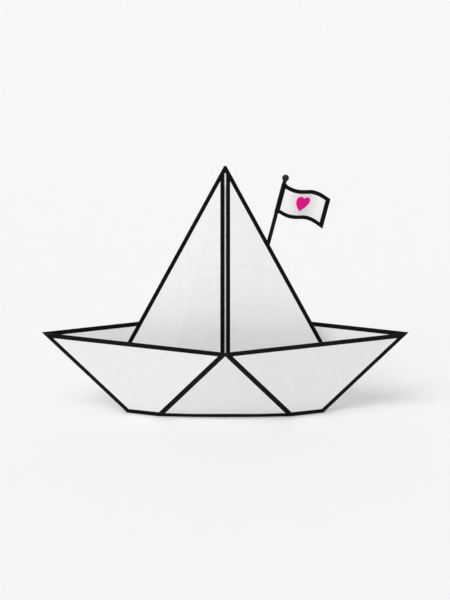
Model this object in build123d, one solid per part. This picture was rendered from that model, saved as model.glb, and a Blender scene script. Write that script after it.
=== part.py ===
from build123d import *

import math
import os

import numpy as np

# ---- driving dimensions, in mm --------------------------------------------------------------------------------------
# The boat lies along X, its front faces -Y and it stands on Z = 0.

# paper
paper_thickness = 0.15
ply_pitch = 0.32  # from the middle of one layer to the middle of the next
keel_fold_width = 0.5  # flat of the fold that the boat stands on
fold_clearance = 0.8  # length left open where a fold stops

# hull
boat_length = 204.0  # tip to tip
beam = 76.4  # across the rims, amidships
rim_height = 46.8
keel_length = 109.6  # between the two ends of the keel fold
crease_foot = 37.3  # from the middle to the foot of a hull crease
keel_half_width = 8.1  # from the middle to the keel fold, amidships
brim_depth = 26.4  # height of the turned-in brim

# sail
sail_height = 144.4
sail_half_angle = 27.8  # degrees, each side of upright
tip_half_width = 0.6  # where the point of the sail closes
slit_half_gap = 0.57  # from the middle to the edge of a front flap
flap_lift = 4.0  # the flaps end this far above the hull's ridge

# flag
stick_diameter = 2.2
stick_length = 72.9
stick_lean = 13.6  # degrees, seen from the front
stick_point = 6.0  # length of the sharpened end
stick_exit_height = 98.8  # where the stick passes the edge of the sail
stick_overlap = 26.5  # length of stick behind the sail
bead_diameter = 3.9
bead_seat = 2.0  # depth of the bead's blind hole
fit_clearance = 0.03  # round the stick, in the bead and in the flag
flag_paper = 0.15
flag_drop = 2.9  # from the middle of the bead to the flag's top edge, along the stick
flag_hoist = 17.7
flag_fly = 27.1
flag_droop = 6.3  # degrees that the flag's free end hangs

# ---- values that follow ---------------------------------------------------------------------------------------------
floor_ply = paper_thickness / 2  # middle of the layer that touches the floor
ridge_half = 1.5 * ply_pitch  # the ridge holds four layers: two hull sides and two brims
tip_x = boat_length / 2
keel_x = keel_length / 2
ridge_lean = (tip_x - keel_x) / (rim_height - floor_ply)
wing_spread = (beam / 2 - ridge_half) / tip_x  # how far a hull side opens for each mm from the ridge
sail_slope = math.tan(math.radians(sail_half_angle))
sail_foot = sail_height * sail_slope

# the sail's half width, the crease, a line half way to it, and the middle: place and bulge at floor height
crease_bulge = (keel_x - crease_foot) * wing_spread
half_bulge = crease_bulge + 0.75 * (keel_half_width - crease_bulge)
COLUMNS = [(sail_foot, 0.0), (crease_foot, crease_bulge), (crease_foot / 2, half_bulge), (0.0, keel_half_width)]
HALF_TURNED = [(-x, bulge) for x, bulge in COLUMNS]
ALL_COLUMNS = HALF_TURNED + COLUMNS[2::-1]  # from the left edge to the right edge

corner_height = sail_foot - keel_x + ridge_lean * floor_ply
corner_height = corner_height / (ridge_lean + sail_slope)  # where the sail's edge meets the hull's ridge
tip_level = sail_height - tip_half_width / sail_slope
neck_level = 0.9 * sail_height
split_level = corner_height + flap_lift
flap_level = split_level + fold_clearance
SAIL_LEVELS = [tip_level, neck_level, flap_level, split_level]


# ---- the folded sheet: a surface of strips, given thickness at the end ------------------------------------------------
class Sheet:
    """The middle surface of the folded paper, as triangles between rows of points."""

    def __init__(self):
        self.points = []
        self.index = {}
        self.triangles = []

    def point(self, place):
        key = tuple(round(c, 6) for c in place)
        if key not in self.index:
            self.index[key] = len(self.points)
            self.points.append(np.array(place, dtype=float))
        return self.index[key]

    def strip(self, row, other):
        """Join two rows with as many points each."""
        a = [self.point(p) for p in row]
        b = [self.point(p) for p in other]
        for i in range(len(a) - 1):
            for triangle in ((a[i], a[i + 1], b[i + 1]), (a[i], b[i + 1], b[i])):
                if len(set(triangle)) == 3:
                    self.triangles.append(triangle)

    def turned(self):
        """The triangles, turned so that neighbours face the same way."""
        by_edge = {}
        for number, triangle in enumerate(self.triangles):
            for a, b in zip(triangle, triangle[1:] + triangle[:1]):
                by_edge.setdefault(frozenset((a, b)), []).append(number)
        result = list(self.triangles)
        done = {0}
        queue = [0]
        while queue:
            number = queue.pop()
            triangle = result[number]
            for a, b in zip(triangle, triangle[1:] + triangle[:1]):
                for neighbour in by_edge[frozenset((a, b))]:
                    if neighbour in done:
                        continue
                    other = result[neighbour]
                    if (a, b) in zip(other, other[1:] + other[:1]):
                        result[neighbour] = other[::-1]
                    done.add(neighbour)
                    queue.append(neighbour)
        return result


def mitre(normals, distance):
    """The move that takes a corner the same distance along each of its surfaces' normals."""
    return np.linalg.lstsq(np.array(normals), np.full(len(normals), distance), rcond=0.08)[0]


def thicken(sheet, thickness):
    """One closed solid, half the thickness to each side of the sheet."""
    triangles = sheet.turned()
    normals = [[] for _ in sheet.points]
    for triangle in triangles:
        a, b, c = (sheet.points[i] for i in triangle)
        normal = np.cross(b - a, c - a)
        for i in triangle:
            normals[i].append(normal / np.linalg.norm(normal))
    moves = [mitre(near, thickness / 2) for near in normals]
    for point, move in zip(sheet.points, moves):
        if abs(point[2] - floor_ply) < 1e-6:
            move[2] = math.copysign(thickness / 2, move[2])  # what stands on the floor is level
    above = [p + m for p, m in zip(sheet.points, moves)]
    below = [p - m for p, m in zip(sheet.points, moves)]
    corners = [[above[i] for i in t] for t in triangles]
    corners += [[below[i] for i in t[::-1]] for t in triangles]
    edges = {(a, b) for t in triangles for a, b in zip(t, t[1:] + t[:1])}
    for a, b in sorted(edges):
        if (b, a) not in edges:
            corners.append([above[b], above[a], below[a]])
            corners.append([above[b], below[a], below[b]])
    faces = [Face(Wire.make_polygon([Vector(*p) for p in c], close=True)) for c in corners]
    solid = Solid(Shell(faces))
    return solid.clean()


# ---- the rows that the sheet is made of -------------------------------------------------------------------------------
def ridge_x(z):
    return keel_x + ridge_lean * (z - floor_ply)


def hull_row(z):
    """One side's layer at a height, from the left ridge to the right ridge, as it lies at the front."""
    up = (z - floor_ply) / (rim_height - floor_ply)
    row = [(-ridge_x(z), -ridge_half, z)]
    for x, bulge in ALL_COLUMNS[1:-1]:
        foot = ridge_half + bulge
        row.append((x * (1 - up), -(foot + (beam / 2 - foot) * up), z))
    row.append((ridge_x(z), -ridge_half, z))
    return row


def brim_row(z):
    """The turned-in brim's layer, inside the hull's."""
    inset = 2 * ply_pitch
    shift = 1.2 * ply_pitch
    end_y = -ridge_half - inset * wing_spread + shift
    end_x = ridge_x(z) - inset
    middle = [(x, y + shift, z) for x, y, _ in hull_row(z)[1:-1]]
    return [(-end_x, end_y, z)] + middle + [(end_x, end_y, z)]


def fold_inset(z):
    """How far the inner slanted fold lies inside the outer one; less where the sail comes to its point."""
    return min(ply_pitch, 0.4 * (sail_height - z) * sail_slope)


def sail_row(z, layer, inset=0.0):
    """One layer of the sail at a height; layer counts in plies from the middle of the stack, to the front."""
    left = 1 - z / sail_height
    row = []
    for x, bulge in ALL_COLUMNS:
        edge = math.copysign(inset, x) if bulge == 0 else 0.0
        row.append((x * left - edge, -bulge * left - layer * ply_pitch, z))
    return row


def flap_row(z, layer, side, inset=0.0):
    """One layer of a front flap, from its slit edge to its slanted edge, on the side +1 or -1."""
    left = 1 - z / sail_height
    slit = min(slit_half_gap, max(0.7 * paper_thickness, crease_foot / 4 * left))
    row = [(side * slit, -keel_half_width * left - layer * ply_pitch, z)]
    for x, bulge in COLUMNS[2::-1]:
        edge = inset if bulge == 0 else 0.0
        row.append((side * (x * left - edge), -bulge * left - layer * ply_pitch, z))
    return row


def flipped(row):
    """The same row on the other side of the boat."""
    return [(x, -y, z) for x, y, z in row]


def hull_foot():
    """The hull layer's lower edge: corner, keel end, crease, middle and back."""
    foot = hull_row(floor_ply)
    corner_x = ridge_x(corner_height)
    corner = (corner_x, -ridge_half, corner_height)
    return [(-corner_x, -ridge_half, corner_height)] + foot + [corner]


def sail_foot_row():
    """The sail layer's lower edge, one ply inside the hull's."""
    step = 2.5 * ply_pitch
    corner_z = corner_height + step
    corner_x = (sail_height - corner_z) * sail_slope
    end_y = -ply_pitch / 2
    middle = [(x, y + keel_fold_width, z) for x, y, z in hull_row(floor_ply)[1:-1]]
    row = [(-corner_x, end_y, corner_z), (-keel_x + ply_pitch, end_y, floor_ply)]
    row += middle
    return row + [(keel_x - ply_pitch, end_y, floor_ply), (corner_x, end_y, corner_z)]


# ---- the parts of the fold ----------------------------------------------------------------------------------------------
def add_hull(sheet):
    brim_level = rim_height - brim_depth
    levels = [rim_height, brim_level, corner_height]
    rows = [hull_row(z) for z in levels]
    brims = [brim_row(z) for z in levels[:2]]
    for turn in (list, flipped):
        for row, other in zip(rows, rows[1:]):
            sheet.strip(turn(row), turn(other))
        sheet.strip(turn(rows[-1]), turn(hull_foot()[1:-1]))
        sheet.strip(turn(brims[0]), turn(brims[1]))
        sheet.strip(turn(rows[0]), turn(brims[0]))
    for end in (0, -1):
        ridge = [row[end] for row in rows]
        brim_ridge = [row[end] for row in brims]
        rim_end = [rows[0][end], brims[0][end]]
        for line in (ridge, brim_ridge, rim_end):
            sheet.strip(line, flipped(line))


def add_keel(sheet):
    """The folds that the boat stands on, and the sail's lowest corners inside the hull's ends."""
    outer = hull_foot()
    inner = sail_foot_row()
    for turn in (list, flipped):
        sheet.strip(turn(outer), turn(inner))
        sheet.strip(turn(inner[:2]), turn([inner[2], inner[2]]))
        sheet.strip(turn(inner[-2:]), turn([inner[-3], inner[-3]]))
    for end in (0, -1):
        ends = [outer[end], inner[end]]
        sheet.strip(ends, flipped(ends))


def add_sail(sheet):
    """The front and rear layers of the hollow sail."""
    foot = sail_foot_row()
    foot = [foot[0]] + foot[2:-2] + [foot[-1]]
    front = [sail_row(z, -0.5, fold_inset(z)) for z in SAIL_LEVELS] + [foot]
    rear = [flipped(sail_row(z, 1.5)) for z in SAIL_LEVELS] + [flipped(foot)]
    for rows in (front, rear):
        for row, other in zip(rows, rows[1:]):
            sheet.strip(row, other)
    for end in (0, -1):
        low = slice(SAIL_LEVELS.index(split_level), None)
        sheet.strip([row[end] for row in front[low]], [row[end] for row in rear[low]])
    sheet.strip(front[0], rear[0])
    return front, rear


def add_flaps(sheet, front, rear):
    """Two flaps on the front, each two layers that are folded at the slit and at the slanted edge."""
    levels = SAIL_LEVELS[:-1]
    for side, end in ((-1, 0), (1, -1)):
        inner = [flap_row(z, 0.5, side, fold_inset(z)) for z in levels]
        outer = [flap_row(z, 1.5, side) for z in levels]
        for rows in (inner, outer):
            for row, other in zip(rows, rows[1:]):
                sheet.strip(row, other)
        base_edge = [row[end] for row in front[: len(levels)]]
        rear_edge = [row[end] for row in rear[: len(levels)]]
        sheet.strip([row[0] for row in inner], [row[0] for row in outer])
        sheet.strip(base_edge, [row[-1] for row in inner])
        sheet.strip(rear_edge, [row[-1] for row in outer])
        sheet.strip([base_edge[0], inner[0][-1]], [rear_edge[0], outer[0][-1]])
        sheet.strip(inner[0], outer[0])


def make_boat():
    sheet = Sheet()
    add_hull(sheet)
    add_keel(sheet)
    front, rear = add_sail(sheet)
    add_flaps(sheet, front, rear)
    return thicken(sheet, paper_thickness)


# ---- the flag and its stick ---------------------------------------------------------------------------------------------
def sail_back():
    """A plane on the back of the sail beside its slanted edge, facing outward."""
    top, low = (flipped(sail_row(z, 1.5)) for z in (neck_level, split_level))
    corner = np.array(low[-1])
    normal = np.cross(np.array(low[-2]) - corner, np.array(top[-1]) - corner)
    normal = normal / np.linalg.norm(normal)
    if normal[1] < 0:
        normal = -normal
    return corner + normal * paper_thickness / 2, normal


def stick_frame():
    """The stick's axis: origin at the sail's edge, Z up the stick, X towards the flag's free end."""
    place, normal = sail_back()
    seat = place + normal * stick_diameter / 2
    x = (sail_height - stick_exit_height) * sail_slope
    y = seat[1] - (normal[0] * (x - seat[0]) + normal[2] * (stick_exit_height - seat[2])) / normal[1]
    lean = math.radians(stick_lean)
    rise = -(normal[0] * math.sin(lean) + normal[2] * math.cos(lean)) / normal[1]
    axis = Vector(math.sin(lean), rise, math.cos(lean)).normalized()
    fly = (Vector(0, 1, 0).cross(axis)).normalized()
    return Plane(origin=(x, y, stick_exit_height), x_dir=fly, z_dir=axis)


def make_stick():
    radius = stick_diameter / 2
    low = -stick_overlap
    outline = [(0, low - stick_point), (radius, low), (radius, stick_top()), (0, stick_top())]
    profile = make_face(Polyline(*[(x, 0, z) for x, z in outline], close=True))
    return stick_frame().location * revolve(profile, Axis.Z)


def stick_top():
    return stick_length - stick_overlap - stick_point


def bead_centre():
    return stick_top() - bead_seat + bead_diameter / 2 * 0.85


def make_bead():
    ball = Pos(0, 0, bead_centre()) * Sphere(bead_diameter / 2)
    bore = stick_diameter / 2 + fit_clearance
    hole = Pos(0, 0, stick_top()) * Cylinder(bore, bead_diameter, align=(Align.CENTER, Align.CENTER, Align.MAX))
    return stick_frame().location * (ball - hole)


def flag_wave():
    """The line of the flag seen along the stick, from the sleeve to the free end."""
    offsets = [(0.0, 0.0), (0.2, -2.8), (0.4, -0.8), (0.61, 4.0), (0.82, 3.4), (1.0, 0.0)]
    start = stick_diameter / 2 + fit_clearance + flag_paper / 2
    return Spline(*[(start + (flag_fly - start) * u, y) for u, y in offsets])


def make_flag():
    bore = stick_diameter / 2 + fit_clearance
    ring = Circle(bore + flag_paper) - Circle(bore)
    blade = trace(flag_wave(), 2 * flag_paper) - Circle(bore)
    top = bead_centre() - flag_drop
    section = Pos(0, 0, top - 2 * flag_hoist) * (ring + blade)
    long_flag = extrude(section, 4 * flag_hoist)
    droop = math.tan(math.radians(flag_droop)) * flag_fly
    sleeve = bore + flag_paper
    outline = [(-sleeve, top), (sleeve, top), (flag_fly * 1.05, top - droop * 1.05)]
    outline += [(x, z - flag_hoist) for x, z in reversed(outline)]
    cutter = make_face(Polyline(*[(x, 0, z) for x, z in outline], close=True))
    cutter = extrude(cutter, beam / 4, both=True)
    return stick_frame().location * (long_flag & cutter)


def main():
    os.makedirs("parts", exist_ok=True)
    nodes = {"paper_boat": make_boat(), "flag_stick": make_stick(), "bead": make_bead(), "flag": make_flag()}
    for name, shape in nodes.items():
        export_step(shape, f"parts/{name}.step")


main()
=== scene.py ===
import bpy
import math
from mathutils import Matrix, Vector


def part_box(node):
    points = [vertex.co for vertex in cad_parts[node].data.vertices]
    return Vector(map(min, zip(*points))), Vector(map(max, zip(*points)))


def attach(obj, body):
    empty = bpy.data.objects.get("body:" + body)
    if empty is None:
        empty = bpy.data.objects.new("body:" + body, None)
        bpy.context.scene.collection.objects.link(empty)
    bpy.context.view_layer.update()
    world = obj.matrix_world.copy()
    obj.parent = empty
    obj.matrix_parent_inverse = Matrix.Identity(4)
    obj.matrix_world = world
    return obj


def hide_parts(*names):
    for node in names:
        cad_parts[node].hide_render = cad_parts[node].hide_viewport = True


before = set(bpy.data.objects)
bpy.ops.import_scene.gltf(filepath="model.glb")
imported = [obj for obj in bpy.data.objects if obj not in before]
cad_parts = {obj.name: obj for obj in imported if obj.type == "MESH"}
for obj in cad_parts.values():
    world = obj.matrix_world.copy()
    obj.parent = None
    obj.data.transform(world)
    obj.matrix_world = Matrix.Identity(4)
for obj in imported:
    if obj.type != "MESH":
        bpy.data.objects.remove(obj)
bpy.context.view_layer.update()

# %% [markdown]
# # A folded paper boat with a flag
# The boat is one sheet of white paper, folded into a hull and a tall hollow sail. Thick black pen lines
# follow its edges and folds. The frame already holds every fold as a real layer of paper, with its
# thickness and its raw edges, so its mesh stays and only needs a finish. The flag is drawn again here
# with a finer wave. We start by measuring the frame, because lights and lines are placed from it.

# %% Measure the frame
MM = 0.001
low, high = (Vector(corner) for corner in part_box("paper_boat"))
print("boat measures", [round(side / MM, 1) for side in high - low], "mm")

# %% [markdown]
# ## Where the folds run
# The pen lines lie on the folds, so we need the corners that the folds run between. The boat is the same
# to the left and to the right, so the right half is enough: the shader folds the left half over with an
# absolute value. The front is the back with Y turned round, which a small function does.

# %% Name the corners of the fold
TIP = Vector((102.0, 0.0, 46.8)) * MM
RIM = Vector((0.0, 38.2, 46.8)) * MM
KEEL_END = Vector((54.8, 0.0, 0.0)) * MM
CREASE_FOOT = Vector((37.3, 6.9, 0.0)) * MM
KEEL_MIDDLE = Vector((0.0, 8.6, 0.0)) * MM
SAIL_POINT = Vector((0.0, 0.0, 144.4)) * MM
SAIL_CORNER = Vector((68.8, 0.0, 13.9)) * MM
SLIT_EDGE = 0.5 * MM  # from the middle to the edge of a front flap


def front(point):
    """The same corner on the front of the boat."""
    return Vector((point.x, -point.y, point.z))


print("the sail's edge is", round((SAIL_POINT - SAIL_CORNER).length / MM, 1), "mm long")

# %% [markdown]
# ## A small tool for shader sums
# A shader can measure how far a spot is from a line. That takes a dozen math nodes for each line, and by
# hand that is a tangle of wires. So we write one helper that adds a node, sets or wires its inputs and
# returns its output. The sums below then read like sums.

# %% Make the shader helper


class Sums:
    """Adds math nodes to a material and returns their outputs."""

    def __init__(self, material):
        self.tree = material.node_tree

    def feed(self, socket, value):
        if isinstance(value, bpy.types.NodeSocket):
            self.tree.links.new(value, socket)
        else:
            socket.default_value = value

    def add(self, kind, **values):
        node = self.tree.nodes.new(kind)
        for name, value in values.items():
            setattr(node, name, value)
        return node

    def math(self, operation, a, b=0.0, clamp=False):
        node = self.add("ShaderNodeMath", operation=operation, use_clamp=clamp)
        self.feed(node.inputs[0], a)
        self.feed(node.inputs[1], b)
        return node.outputs[0]

    def vector(self, operation, a, b=(0.0, 0.0, 0.0), result=0):
        node = self.add("ShaderNodeVectorMath", operation=operation)
        self.feed(node.inputs[0], a)
        self.feed(node.inputs[1], b)
        return node.outputs[result]

    def scale(self, a, factor):
        node = self.add("ShaderNodeVectorMath", operation="SCALE")
        self.feed(node.inputs[0], a)
        self.feed(node.inputs["Scale"], factor)
        return node.outputs[0]

    def mix(self, part, a, b):
        """A colour between two others."""
        node = self.add("ShaderNodeMix", data_type="RGBA")
        self.feed(node.inputs[0], part)
        self.feed(node.inputs[6], a)
        self.feed(node.inputs[7], b)
        return node.outputs[2]

    def place(self):
        """Where a spot is on the piece, in metres."""
        return self.add("ShaderNodeTexCoord").outputs["Object"]

    def noise(self, place, scale, detail=3.0):
        node = self.add("ShaderNodeTexNoise")
        self.feed(node.inputs["Vector"], place)
        node.inputs["Scale"].default_value = scale
        node.inputs["Detail"].default_value = detail
        return node.outputs[0]

    def bump(self, height, strength, distance):
        node = self.add("ShaderNodeBump")
        node.inputs["Strength"].default_value = strength
        node.inputs["Distance"].default_value = distance
        self.feed(node.inputs["Height"], height)
        return node.outputs[0]


def new_material(name):
    """A node material and its main shader."""
    material = bpy.data.materials.new(name)
    material.use_nodes = True
    return material, material.node_tree.nodes["Principled BSDF"]


print("shader helper has", len([name for name in vars(Sums) if name[0] != "_"]), "tools")

# %% [markdown]
# ## Measuring a pen line
# The distance to a straight fold is worked out in three steps: how far along the fold the spot is, the
# nearest place on the fold, and the length of the gap. Where that is less than the pen's width, there is
# ink. A narrow ramp softens the ink's edge, as ink does when it soaks into paper.

# %% Measure distances and draw lines
INK_SOFTNESS = 0.07 * MM
WANDER_SCALE = 900.0


def fold_distance(sums, spot, start, end):
    """How far a spot is from the fold between two corners."""
    along = end - start
    offset = sums.vector("SUBTRACT", spot, tuple(start))
    part = sums.vector("DOT_PRODUCT", offset, tuple(along / along.length_squared), 1)
    part = sums.math("ADD", part, 0.0, clamp=True)
    nearest = sums.scale(tuple(along), part)
    return sums.vector("LENGTH", sums.vector("SUBTRACT", offset, nearest), result=1)


def pen_line(sums, distance, width):
    """One inside the width of a pen line, nought outside, with a soft edge."""
    edge = sums.math("SUBTRACT", width, distance)
    return sums.math("ADD", sums.math("DIVIDE", edge, INK_SOFTNESS), 0.5, clamp=True)


def pen_wander(sums, place, most):
    """The small unevenness of a line drawn by hand."""
    drift = sums.math("SUBTRACT", sums.noise(place, WANDER_SCALE), 0.5)
    return sums.math("MULTIPLY", drift, most)


print("ink fades out over", INK_SOFTNESS / MM, "mm")

# %% [markdown]
# ## White paper
# Drawing paper is white, matt and slightly uneven: its tone drifts a little and its fibres make tiny
# bumps. Ink soaks in and lies a touch smoother than the bare paper. An image of paper would do, but noise
# does it at any scale and needs no seams. The same paper serves for boat and flag, so the ink comes in as
# a mask.

# %% Make the paper
PAPER_DULL = (0.84, 0.84, 0.835, 1.0)
PAPER_BRIGHT = (0.91, 0.91, 0.905, 1.0)
INK = (0.0015, 0.0015, 0.0018, 1.0)
PAPER_ROUGH = 0.82
PAPER_GLOSS = 0.1
INK_SMOOTHER = 0.24
TONE_SCALE = 260.0
FIBRE_SCALE, CLUMP_SCALE = 2600.0, 420.0
FIBRE_HEIGHT = 0.12 * MM
FIBRE_STRENGTH = 0.22


def finish_paper(material, shader, ink, place, colour=None, mask=None):
    """White paper under a mask of ink, with one more colour under the ink if it is given."""
    sums = Sums(material)
    paper = sums.mix(sums.noise(place, TONE_SCALE), PAPER_DULL, PAPER_BRIGHT)
    if colour is not None:
        paper = sums.mix(mask, paper, colour)
    sums.feed(shader.inputs["Base Color"], sums.mix(ink, paper, INK))
    rough = sums.math("SUBTRACT", PAPER_ROUGH, sums.math("MULTIPLY", ink, INK_SMOOTHER))
    sums.feed(shader.inputs["Roughness"], rough)
    shader.inputs["Specular IOR Level"].default_value = PAPER_GLOSS
    fibre = sums.math("ADD", sums.noise(place, FIBRE_SCALE, 6.0), sums.noise(place, CLUMP_SCALE, 4.0))
    sums.feed(shader.inputs["Normal"], sums.bump(fibre, FIBRE_STRENGTH, FIBRE_HEIGHT))


print("paper reflects from", PAPER_DULL[0], "to", PAPER_BRIGHT[0])

# %% [markdown]
# ## Pen lines on the boat
# The lines all look equally wide from the front and slightly above. A band on a face that leans away
# looks narrower, so it is drawn wider: the front rim, the ridges and the keel get more than the sail
# does. A crease in the middle of a face is measured to both sides, so its width is a half one. The two
# lines beside the front slit stop at the flaps' edges, or the layer behind the slit would turn black too.

# %% Choose the width of each line
SAIL_PEN = 2.25 * MM
REAR_RIM_PEN = 2.25 * MM
FRONT_RIM_PEN = 2.8 * MM
RIDGE_PEN = 2.95 * MM
KEEL_PEN = 2.9 * MM
CREASE_HALF_PEN = 1.5 * MM
BOAT_WANDER = 0.16 * MM
SAIL_FOOT = SAIL_CORNER.lerp(SAIL_POINT, 0.03)  # or the line's end would mark the hull

FOLDS = [
    (front(RIM), TIP, FRONT_RIM_PEN),
    (RIM, TIP, REAR_RIM_PEN),
    (TIP, KEEL_END, RIDGE_PEN),
    (front(RIM), front(CREASE_FOOT), CREASE_HALF_PEN),
    (RIM, CREASE_FOOT, CREASE_HALF_PEN),
    (KEEL_END, front(CREASE_FOOT), KEEL_PEN),
    (front(CREASE_FOOT), front(KEEL_MIDDLE), KEEL_PEN),
    (KEEL_END, CREASE_FOOT, KEEL_PEN),
    (CREASE_FOOT, KEEL_MIDDLE, KEEL_PEN),
    (SAIL_POINT, SAIL_FOOT, SAIL_PEN),
]
print(len(FOLDS), "folds to draw, twice each")

# %% [markdown]
# ## Drawing the lines
# Each line is a mask of its own. Ink gets no darker where two lines cross, so the masks are joined by their
# largest value. The slit's line needs two tests more: it stays beside the slit, and it stays in front of the
# sail's rear layer, which has no slit.

# %% Draw the lines
FLAP_START = SLIT_EDGE * 0.9  # a hair inside the flap's edge
REAR_LAYER = 0.1 * MM  # the flaps lie in front of this depth
SLIT_FOOT = front(KEEL_MIDDLE).lerp(SAIL_POINT, 0.05)  # or the line's end would mark the keel


def slit_ink(sums, spot, wander, across, depth):
    """The line beside the front slit, on the flaps only."""
    aside = Vector((SLIT_EDGE, 0.0, 0.0))
    distance = fold_distance(sums, spot, SAIL_POINT + aside, SLIT_FOOT + aside)
    distance = sums.math("ADD", distance, wander)
    beside = sums.math("GREATER_THAN", across, FLAP_START)
    ahead = sums.math("LESS_THAN", depth, REAR_LAYER)
    return sums.math("MULTIPLY", pen_line(sums, distance, SAIL_PEN), sums.math("MULTIPLY", beside, ahead))


def boat_paper():
    """White paper with a line along every fold."""
    material, shader = new_material("inked_white_paper")
    sums = Sums(material)
    place = sums.place()
    parts = sums.add("ShaderNodeSeparateXYZ")
    sums.feed(parts.inputs[0], place)
    across = sums.math("ABSOLUTE", parts.outputs[0])
    folded = sums.add("ShaderNodeCombineXYZ")
    for socket, value in zip(folded.inputs, (across, parts.outputs[1], parts.outputs[2])):
        sums.feed(socket, value)
    spot = folded.outputs[0]
    wander = pen_wander(sums, place, BOAT_WANDER)
    ink = slit_ink(sums, spot, wander, across, parts.outputs[1])
    for start, end, width in FOLDS:
        distance = sums.math("ADD", fold_distance(sums, spot, start, end), wander)
        ink = sums.math("MAXIMUM", ink, pen_line(sums, distance, width))
    finish_paper(material, shader, ink, place)
    return material


def give(node, material):
    """Put a material on a part of the frame."""
    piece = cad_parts[node]
    piece.data.materials.clear()
    piece.data.materials.append(material)


give("paper_boat", boat_paper())
print("boat's material has", len(bpy.data.materials["inked_white_paper"].node_tree.nodes), "nodes")

# %% [markdown]
# ## Black paint on the stick and the bead
# The stick is a wooden cocktail stick, painted black by hand, so its grain still shows as fine streaks
# along it. Noise that is squeezed across the stick and stretched along it gives streaks. The bead has a
# glossier, even coat. Both keep their shape from the frame.

# %% Paint the stick and the bead
PAINT_DEEP = (0.001, 0.001, 0.0012, 1.0)
PAINT_WORN = (0.006, 0.0055, 0.0055, 1.0)
GRAIN_HEIGHT = 0.08 * MM
GRAIN_ROUGH = 0.18
ALONG_STICK = (2600.0, 2600.0, 160.0)
EVEN = (700.0, 700.0, 700.0)


def black_paint(name, roughness, gloss, streak):
    """Black paint whose unevenness follows a grain."""
    material, shader = new_material(name)
    sums = Sums(material)
    grain = sums.noise(sums.vector("MULTIPLY", sums.place(), streak), 1.0, 4.0)
    sums.feed(shader.inputs["Base Color"], sums.mix(grain, PAINT_DEEP, PAINT_WORN))
    shader.inputs["Specular IOR Level"].default_value = gloss
    rough = sums.math("ADD", sums.math("MULTIPLY", grain, GRAIN_ROUGH), roughness)
    sums.feed(shader.inputs["Roughness"], rough)
    sums.feed(shader.inputs["Normal"], sums.bump(grain, 0.3, GRAIN_HEIGHT))
    return material


give("flag_stick", black_paint("black_painted_wood", 0.5, 0.12, ALONG_STICK))
give("bead", black_paint("black_gloss_bead", 0.2, 0.3, EVEN))
print("stick and bead painted")

# %% [markdown]
# ## The flag's stick gives its directions
# The flag hangs on a leaning stick, so it needs the stick's own directions: along the stick, along the
# fly, and across both. The stick's sharp end is its lowest point. The middle of its flat top is found
# from the points furthest from there.

# %% Find the stick's axis
TOP_REACH = 0.5 * MM
stick_points = [vertex.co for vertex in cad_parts["flag_stick"].data.vertices]
stick_tip = min(stick_points, key=lambda co: co.z)
longest = max((co - stick_tip).length for co in stick_points)
crown = [co for co in stick_points if (co - stick_tip).length > longest - TOP_REACH]
STICK_TOP = sum(crown, Vector()) / len(crown)
AXIS = (STICK_TOP - stick_tip).normalized()
FLY = Vector((0.0, 1.0, 0.0)).cross(AXIS).normalized()
DEEP = AXIS.cross(FLY)
print("stick is", round((STICK_TOP - stick_tip).length / MM, 1), "mm long")

# %% [markdown]
# ## The flag's wave
# Seen along the stick, the flag is one line: out along the fly, back, and round the stick, because it is
# one strip with its ends stuck together. A few chosen heights give the wave, and a cubic between each two
# of them, with slopes from their neighbours, makes it smooth.

# %% Choose the flag's sizes
PAPER = 0.15 * MM
SLEEVE = 1.205 * MM  # radius of the strip's middle round the stick
BLADE_START = 2.4 * MM  # where the two layers meet, from the stick's axis
FLY_LENGTH = 27.1 * MM
HOIST = 17.7 * MM
FLAG_TOP = 3.84 * MM  # from the stick's top down to the flag's upper edge
DROOP = math.tan(math.radians(6.3))
FLARE = 0.03  # how much deeper the flag gets for each length along the fly
WAVE = [(0.0, 0.0), (0.1, -1.9), (0.2, -2.8), (0.3, -2.3), (0.4, -0.8), (0.5, 1.6), (0.61, 4.0)]
WAVE += [(0.72, 4.5), (0.82, 3.6), (0.92, 1.6), (1.0, 0.0)]  # share of the fly, height in millimetres


def smooth_through(points, at):
    """The height at a place on a smooth line through points, in order."""
    last = len(points) - 2
    k = min(max(i for i in range(len(points)) if points[i][0] <= at + 1e-9), last)
    before, after = points[max(k - 1, 0)], points[min(k + 2, last + 1)]
    (x0, y0), (x1, y1) = points[k], points[k + 1]
    t = (at - x0) / (x1 - x0)
    slope0 = (y1 - before[1]) / (x1 - before[0]) * (x1 - x0)
    slope1 = (after[1] - y0) / (after[0] - x0) * (x1 - x0)
    t2, t3 = t * t, t * t * t
    rise = (2 * t3 - 3 * t2 + 1) * y0 + (t3 - 2 * t2 + t) * slope0
    return rise + (3 * t2 - 2 * t3) * y1 + (t3 - t2) * slope1


print("flag is", round(FLY_LENGTH / MM, 1), "by", round(HOIST / MM, 1), "mm")

# %% [markdown]
# ## From a line to a strip
# The strip's middle line runs in along the near layer, round the stick and out along the far layer.
# Moving that line half a paper's thickness to each side gives the two faces of the paper.

# %% Draw the strip's line
BLADE_STEPS = 90
SLEEVE_STEPS = 28
SLEEVE_OPENING = 38  # degrees from the fly to where the strip leaves the stick
LAYERS_APART = PAPER * 0.54  # from the flag's middle to the middle of each layer


def strip_line():
    """The strip's middle line, seen along the stick."""
    blade = []
    for i in range(BLADE_STEPS + 1):
        x = BLADE_START + (FLY_LENGTH - BLADE_START) * i / BLADE_STEPS
        blade.append((x, smooth_through(WAVE, x / FLY_LENGTH) * MM))
    near = [(x, y - LAYERS_APART) for x, y in reversed(blade)]
    far = [(x, y + LAYERS_APART) for x, y in blade]
    step = (360 - 2 * SLEEVE_OPENING) / SLEEVE_STEPS
    turn = [math.radians(-SLEEVE_OPENING - step * i) for i in range(SLEEVE_STEPS + 1)]
    sleeve = [(SLEEVE * math.cos(a), SLEEVE * math.sin(a)) for a in turn]
    return near + sleeve + far


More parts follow.
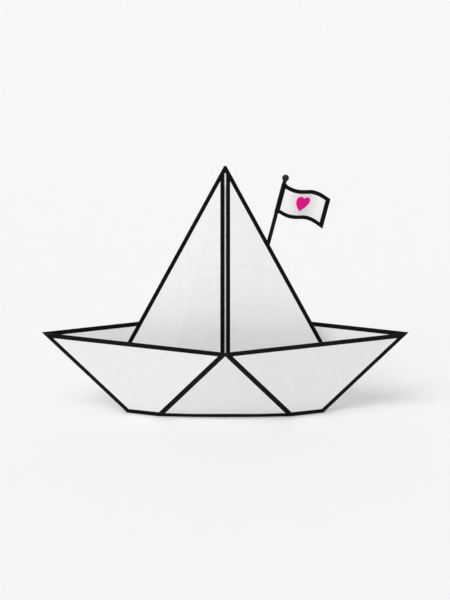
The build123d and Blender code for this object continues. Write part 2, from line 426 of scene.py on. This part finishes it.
def offset_line(line, distance):
    """The same line moved sideways."""
    moved = []
    for i, (x, y) in enumerate(line):
        x0, y0 = line[max(i - 1, 0)]
        x1, y1 = line[min(i + 1, len(line) - 1)]
        size = math.hypot(x1 - x0, y1 - y0)
        moved.append((x - (y1 - y0) / size * distance, y + (x1 - x0) / size * distance))
    return moved


middle = strip_line()
strip_length = sum(math.dist(a, b) for a, b in zip(middle, middle[1:]))
print("strip is", round(strip_length / MM, 1), "mm long before it is wrapped")

# %% [markdown]
# ## The flag's mesh
# The line is pulled down the stick in rows, and each row hangs a little lower towards the free end,
# because paper droops. Every point keeps two numbers, how far it is along the fly and down the hoist, so
# that the shader can draw on the flag whatever its wave.

# %% Build the flag
ROWS = 40
SHARP = math.radians(50)


def row_points(loop, along, row):
    """One row of the flag, and how far along and down its points are."""
    down = HOIST * row / ROWS
    points = []
    for (x, y), reached in zip(loop, along):
        free = max(reached - BLADE_START, 0.0)
        drop = FLAG_TOP + down + DROOP * free + FLARE * free * (row / ROWS)
        points.append(STICK_TOP - AXIS * drop + FLY * x + DEEP * y)
    return points, along, [down] * len(loop)


def flag_faces(count):
    """The paper's faces between rows, and its raw edges at the top and the bottom."""
    faces = []
    for row in range(ROWS):
        for i in range(count):
            k = (i + 1) % count
            a, b = row * count, (row + 1) * count
            faces.append((a + i, a + k, b + k, b + i))
    for base, turned in ((0, True), (ROWS * count, False)):
        for i in range(count // 2 - 1):
            face = (base + i, base + i + 1, base + count - 2 - i, base + count - 1 - i)
            faces.append(face[::-1] if turned else face)
    return faces


def make_flag():
    loop = offset_line(middle, PAPER / 2) + offset_line(middle, -PAPER / 2)[::-1]
    along = [x for x, y in middle] + [x for x, y in middle][::-1]
    points, fly, hoist = [], [], []
    for row in range(ROWS + 1):
        for store, values in zip((points, fly, hoist), row_points(loop, along, row)):
            store.extend(values)
    mesh = bpy.data.meshes.new("flag_paper")
    mesh.from_pydata(points, [], flag_faces(len(loop)))
    mesh.validate()
    for name, values in (("fly", fly), ("hoist", hoist)):
        mesh.attributes.new(name, "FLOAT", "POINT").data.foreach_set("value", values)
    mesh.shade_smooth()
    mesh.set_sharp_from_angle(angle=SHARP)
    flag = bpy.data.objects.new("flag_paper", mesh)
    bpy.context.scene.collection.objects.link(flag)
    return flag


flag = make_flag()
print("flag has", len(flag.data.polygons), "faces")

# %% [markdown]
# ## Pen and heart on the flag
# A pen line borders the flag and covers its sleeve. The heart is a plain one: a circle whose height is
# raised by the cube root of the width squared, which splits the top into lobes and draws the bottom into
# a point. The sum's sign says whether a spot is inside.

# %% Draw on the flag
FLAG_PEN = 2.3 * MM
SLEEVE_PEN = 1.45 * MM
FLAG_WANDER = 0.14 * MM
HEART_PLACE = (12.5 * MM, 9.2 * MM)  # along the fly and down the hoist
HEART_SIZE = 3.95 * MM
HEART_TURN = math.radians(7)
HEART_LOBES = 0.65  # how far the lobes stand above a plain circle
HEART_SOFTNESS = 0.06
MAGENTA = (0.90, 0.004, 0.29, 1.0)


def border_ink(sums, fly, hoist, place):
    """The pen line round the flag and over its sleeve."""
    width = sums.math("ADD", pen_wander(sums, place, FLAG_WANDER), FLAG_PEN)
    free_end = sums.math("SUBTRACT", FLY_LENGTH, fly)
    lower_edge = sums.math("SUBTRACT", HOIST, hoist)
    ink = pen_line(sums, fly, SLEEVE_PEN)
    for edge in (free_end, hoist, lower_edge):
        ink = sums.math("MAXIMUM", ink, pen_line(sums, edge, width))
    return ink


def heart_mask(sums, fly, hoist):
    """One inside the heart, nought outside."""
    across = sums.math("DIVIDE", sums.math("SUBTRACT", fly, HEART_PLACE[0]), HEART_SIZE)
    up = sums.math("DIVIDE", sums.math("SUBTRACT", HEART_PLACE[1], hoist), HEART_SIZE)
    cos, sin = math.cos(HEART_TURN), math.sin(HEART_TURN)
    x = sums.math("ADD", sums.math("MULTIPLY", across, cos), sums.math("MULTIPLY", up, -sin))
    y = sums.math("ADD", sums.math("MULTIPLY", across, sin), sums.math("MULTIPLY", up, cos))
    xx = sums.math("MULTIPLY", x, x)
    lifted = sums.math("SUBTRACT", y, sums.math("MULTIPLY", sums.math("POWER", xx, 1 / 3), HEART_LOBES))
    ring = sums.math("ADD", xx, sums.math("MULTIPLY", lifted, lifted))
    inside = sums.math("DIVIDE", sums.math("SUBTRACT", 1.0, ring), HEART_SOFTNESS)
    return sums.math("ADD", inside, 0.5, clamp=True)


def flag_paper():
    material, shader = new_material("inked_flag_paper")
    sums = Sums(material)
    place = sums.place()
    fly = sums.add("ShaderNodeAttribute", attribute_name="fly").outputs["Fac"]
    hoist = sums.add("ShaderNodeAttribute", attribute_name="hoist").outputs["Fac"]
    ink = border_ink(sums, fly, hoist, place)
    finish_paper(material, shader, ink, place, MAGENTA, heart_mask(sums, fly, hoist))
    return material


flag.data.materials.append(flag_paper())
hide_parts("flag")
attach(flag, "root")
print("flag drawn, heart about", round(2 * HEART_SIZE / MM, 1), "mm wide")

# %% [markdown]
# ## The light
# White paper shows its folds only by small differences of light. A sun with a wide angle gives soft
# shadows and lights the floor evenly, and a pale world fills the shadows in. Together they add up to
# about one, so that a colour renders about as it is written.

# %% Light the set
SKY, SUN, SUN_WIDTH = 0.62, 1.35, math.radians(35)
SUN_PLACE = Vector((-0.5, -0.8, 1.1))
scene = bpy.context.scene
scene.view_settings.view_transform = "Standard"
world = bpy.data.worlds.new("pale_room")
scene.world = world
world.use_nodes = True
background = world.node_tree.nodes["Background"]
background.inputs["Color"].default_value = (1.0, 1.0, 1.0, 1.0)
background.inputs["Strength"].default_value = SKY
sun = bpy.data.lights.new("soft_sun", "SUN")
sun.energy = SUN
sun.angle = SUN_WIDTH
sun_piece = bpy.data.objects.new("soft_sun", sun)
sun_piece.rotation_euler = SUN_PLACE.to_track_quat("Z", "Y").to_euler()
scene.collection.objects.link(sun_piece)
print("world", SKY, "and sun", SUN)

# %% [markdown]
# ## The floor
# A floor that meets a wall makes a line behind the boat. A studio bends one sheet of card from the floor up
# into the wall, and so do we: a flat stretch, a quarter circle and a wall.

# %% Lay the floor and hang the backdrop
FLOOR_HALF_WIDTH, FLOOR_DEPTH, COVE, WALL_TOP = 6.0, 3.0, 1.2, 6.0
COVE_STEPS = 16


def make_floor():
    """A floor that turns up into a wall."""
    line = [(-FLOOR_DEPTH, 0.0)]
    for i in range(COVE_STEPS + 1):
        a = math.pi / 2 * i / COVE_STEPS
        line.append((FLOOR_DEPTH + COVE * math.sin(a), COVE - COVE * math.cos(a)))
    line.append((FLOOR_DEPTH + COVE, WALL_TOP))
    points = [(x, y, z) for y, z in line for x in (-FLOOR_HALF_WIDTH, FLOOR_HALF_WIDTH)]
    faces = [(2 * i, 2 * i + 1, 2 * i + 3, 2 * i + 2) for i in range(len(line) - 1)]
    mesh = bpy.data.meshes.new("floor")
    mesh.from_pydata(points, [], faces)
    floor = bpy.data.objects.new("floor", mesh)
    scene.collection.objects.link(floor)
    material, shader = new_material("pale_card")
    shader.inputs["Base Color"].default_value = (0.93, 0.93, 0.93, 1.0)
    shader.inputs["Roughness"].default_value = 0.9
    mesh.materials.append(material)
    return floor


print("floor has", len(make_floor().data.polygons), "faces")

# %% [markdown]
# ## The camera
# The boat is seen from the front and a little above. A very long lens from far away keeps its two ends
# equally large and its parallel folds parallel.

# %% Place the camera
ELEVATION = math.radians(17.0)
AIM = Vector((-0.14, 0.0, 65.8)) * MM
PICTURE_HEIGHT = 334.3 * MM
LENS, SENSOR = 400.0, 36.0
away = PICTURE_HEIGHT * LENS / SENSOR
camera = bpy.data.cameras.new("camera")
camera.lens = LENS
camera.sensor_width = SENSOR
camera.clip_end = 50.0
camera_piece = bpy.data.objects.new("camera", camera)
look = Vector((0.0, -math.cos(ELEVATION), math.sin(ELEVATION)))
camera_piece.location = AIM + look * away
camera_piece.rotation_euler = look.to_track_quat("Z", "Y").to_euler()
scene.collection.objects.link(camera_piece)
scene.camera = camera_piece
print("camera is", round(away, 2), "m away")

# %% [markdown]
# ## The end
# The boat and its flag, the light, the floor and the camera are now in place.

# %% Finish
print("scene built")
